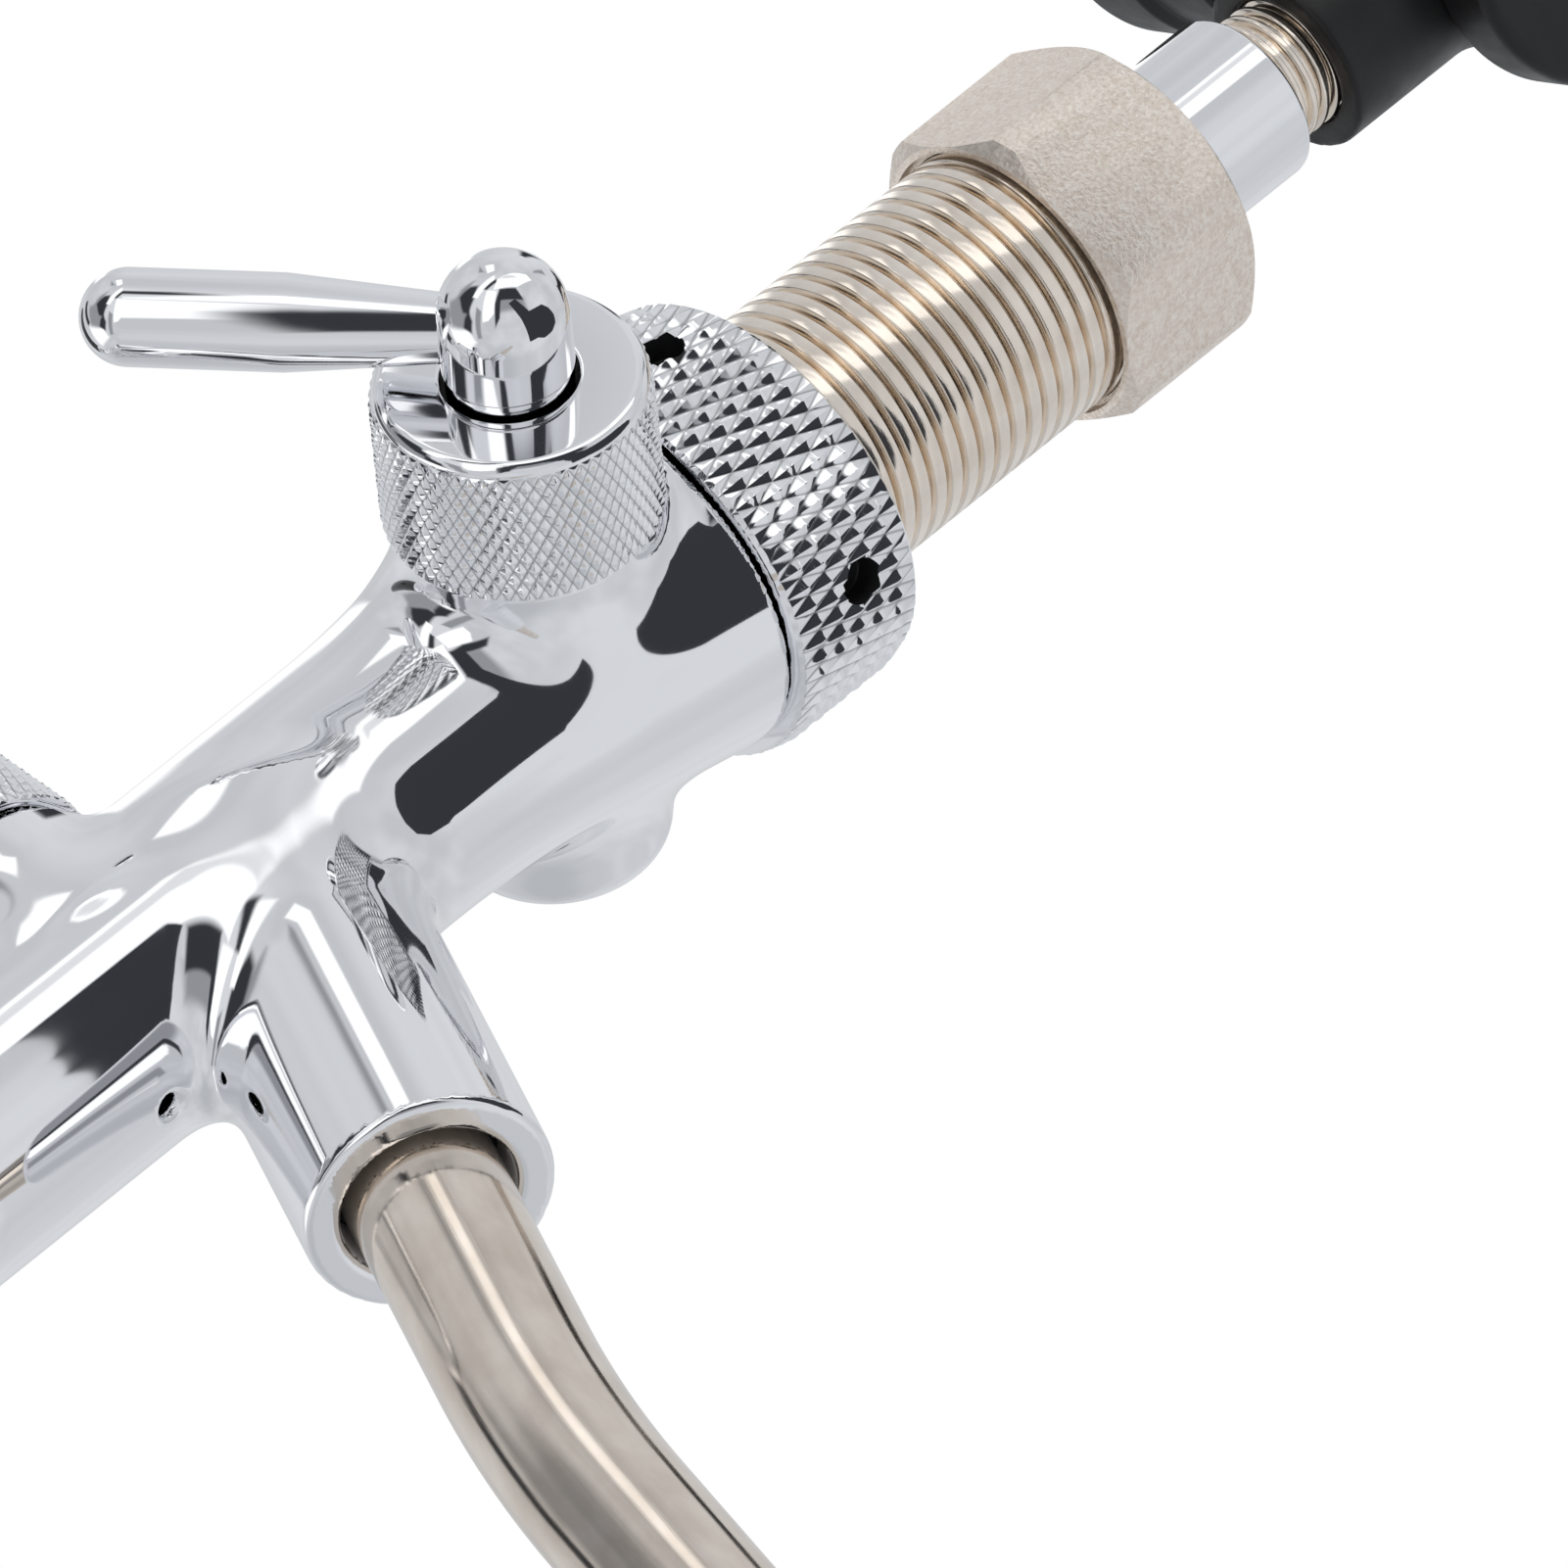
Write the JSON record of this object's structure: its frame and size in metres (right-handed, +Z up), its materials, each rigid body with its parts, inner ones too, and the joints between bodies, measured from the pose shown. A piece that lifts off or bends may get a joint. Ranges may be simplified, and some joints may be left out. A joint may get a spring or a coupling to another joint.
{
  "type": "beer faucet",
  "caption": "Chrome beer faucet on a threaded shank, with a pull handle, a side flow-control lever, a bent steel spout and a quick keg disconnect.",
  "frame": {"origin": "on the shank axis, at the rear face of the coupling collar, where the tap bears on the wall", "axes": "+Y back along the shank, +Z up towards the pull handle, +X towards the flow-control lever"},
  "size_m": [0.0668, 0.2096, 0.2264],
  "materials": {
    "chrome_plate": "mirror-polished chrome plate",
    "satin_nickel": "satin nickel plate",
    "stainless": "fine brushed along the tube",
    "black_plastic": "moulded, fine matte",
    "grip_plastic": "polished moulded",
    "white_plastic": "turned, plain",
    "black_rubber": "matte"
  },
  "bodies": {
    "tap": {"faucet_body": "chrome_plate", "coupling_collar": "chrome_plate", "shank": "satin_nickel", "shank_gasket": "black_rubber", "union_nut": "satin_nickel", "tail_stub": "chrome_plate", "tail_washer": "black_rubber", "flare_nipple": "satin_nickel", "spout_tube": "stainless", "spout_o_ring": "black_rubber", "flow_cap": "chrome_plate", "flow_washer": "white_plastic", "lower_ball_seat": "white_plastic", "upper_ball_seat": "white_plastic", "handle_bonnet": "chrome_plate", "disconnect_body": "black_plastic", "disconnect_cap": "black_plastic", "lock_balls": "stainless", "sleeve_spring": "stainless", "poppet_spring": "stainless", "post_seal": "black_rubber"},
    "handle": {"handle_lever": "chrome_plate", "handle_ferrule": "chrome_plate", "handle_grip": "grip_plastic"},
    "valve": {"valve_stem": "stainless", "valve_washer": "black_rubber", "stem_nut": "stainless"},
    "flow_lever": {"flow_shaft": "chrome_plate", "flow_lever_hub": "chrome_plate", "flow_lever": "chrome_plate"},
    "compensator": {"flow_compensator": "white_plastic"},
    "sleeve": {"disconnect_sleeve": "black_plastic"},
    "poppet": {"poppet_pin": "black_plastic", "poppet_seal": "black_rubber"}
  },
  "joints": [
    {"name": "handle_hinge", "type": "hinge", "parent": "tap", "child": "handle", "pos_m": [0, -0.0731, 0.018], "axis": [1, 0, 0], "range_deg": [0, 20]},
    {"name": "valve_slide", "type": "slide", "parent": "tap", "child": "valve", "axis": [0, 1, 0], "range_m": [0, 0.00625]},
    {"name": "flow_lever_hinge", "type": "hinge", "parent": "tap", "child": "flow_lever", "pos_m": [0, -0.0246, 0], "axis": [1, 0, 0], "range_deg": [-34.8, 145.2]},
    {"name": "compensator_slide", "type": "slide", "parent": "tap", "child": "compensator", "axis": [0, 1, 0], "range_m": [-0.00323, 0.00077]},
    {"name": "sleeve_slide", "type": "slide", "parent": "tap", "child": "sleeve", "axis": [0.4003, 0, -0.9164], "range_m": [0, 0.004], "stiffness_N_per_m": 800, "springref_m": -0.005, "deforming": ["sleeve_spring"]},
    {"name": "poppet_slide", "type": "slide", "parent": "tap", "child": "poppet", "axis": [0.4003, 0, -0.9164], "range_m": [0, 0.0025], "stiffness_N_per_m": 600, "springref_m": -0.004, "deforming": ["poppet_spring"]}
  ],
  "couplings": [
    {"joint": "valve_slide", "follows": "handle_hinge", "m_per_rad": 0.017909},
    {"joint": "compensator_slide", "follows": "flow_lever_hinge", "m_per_rad": -0.0012732}
  ]
}
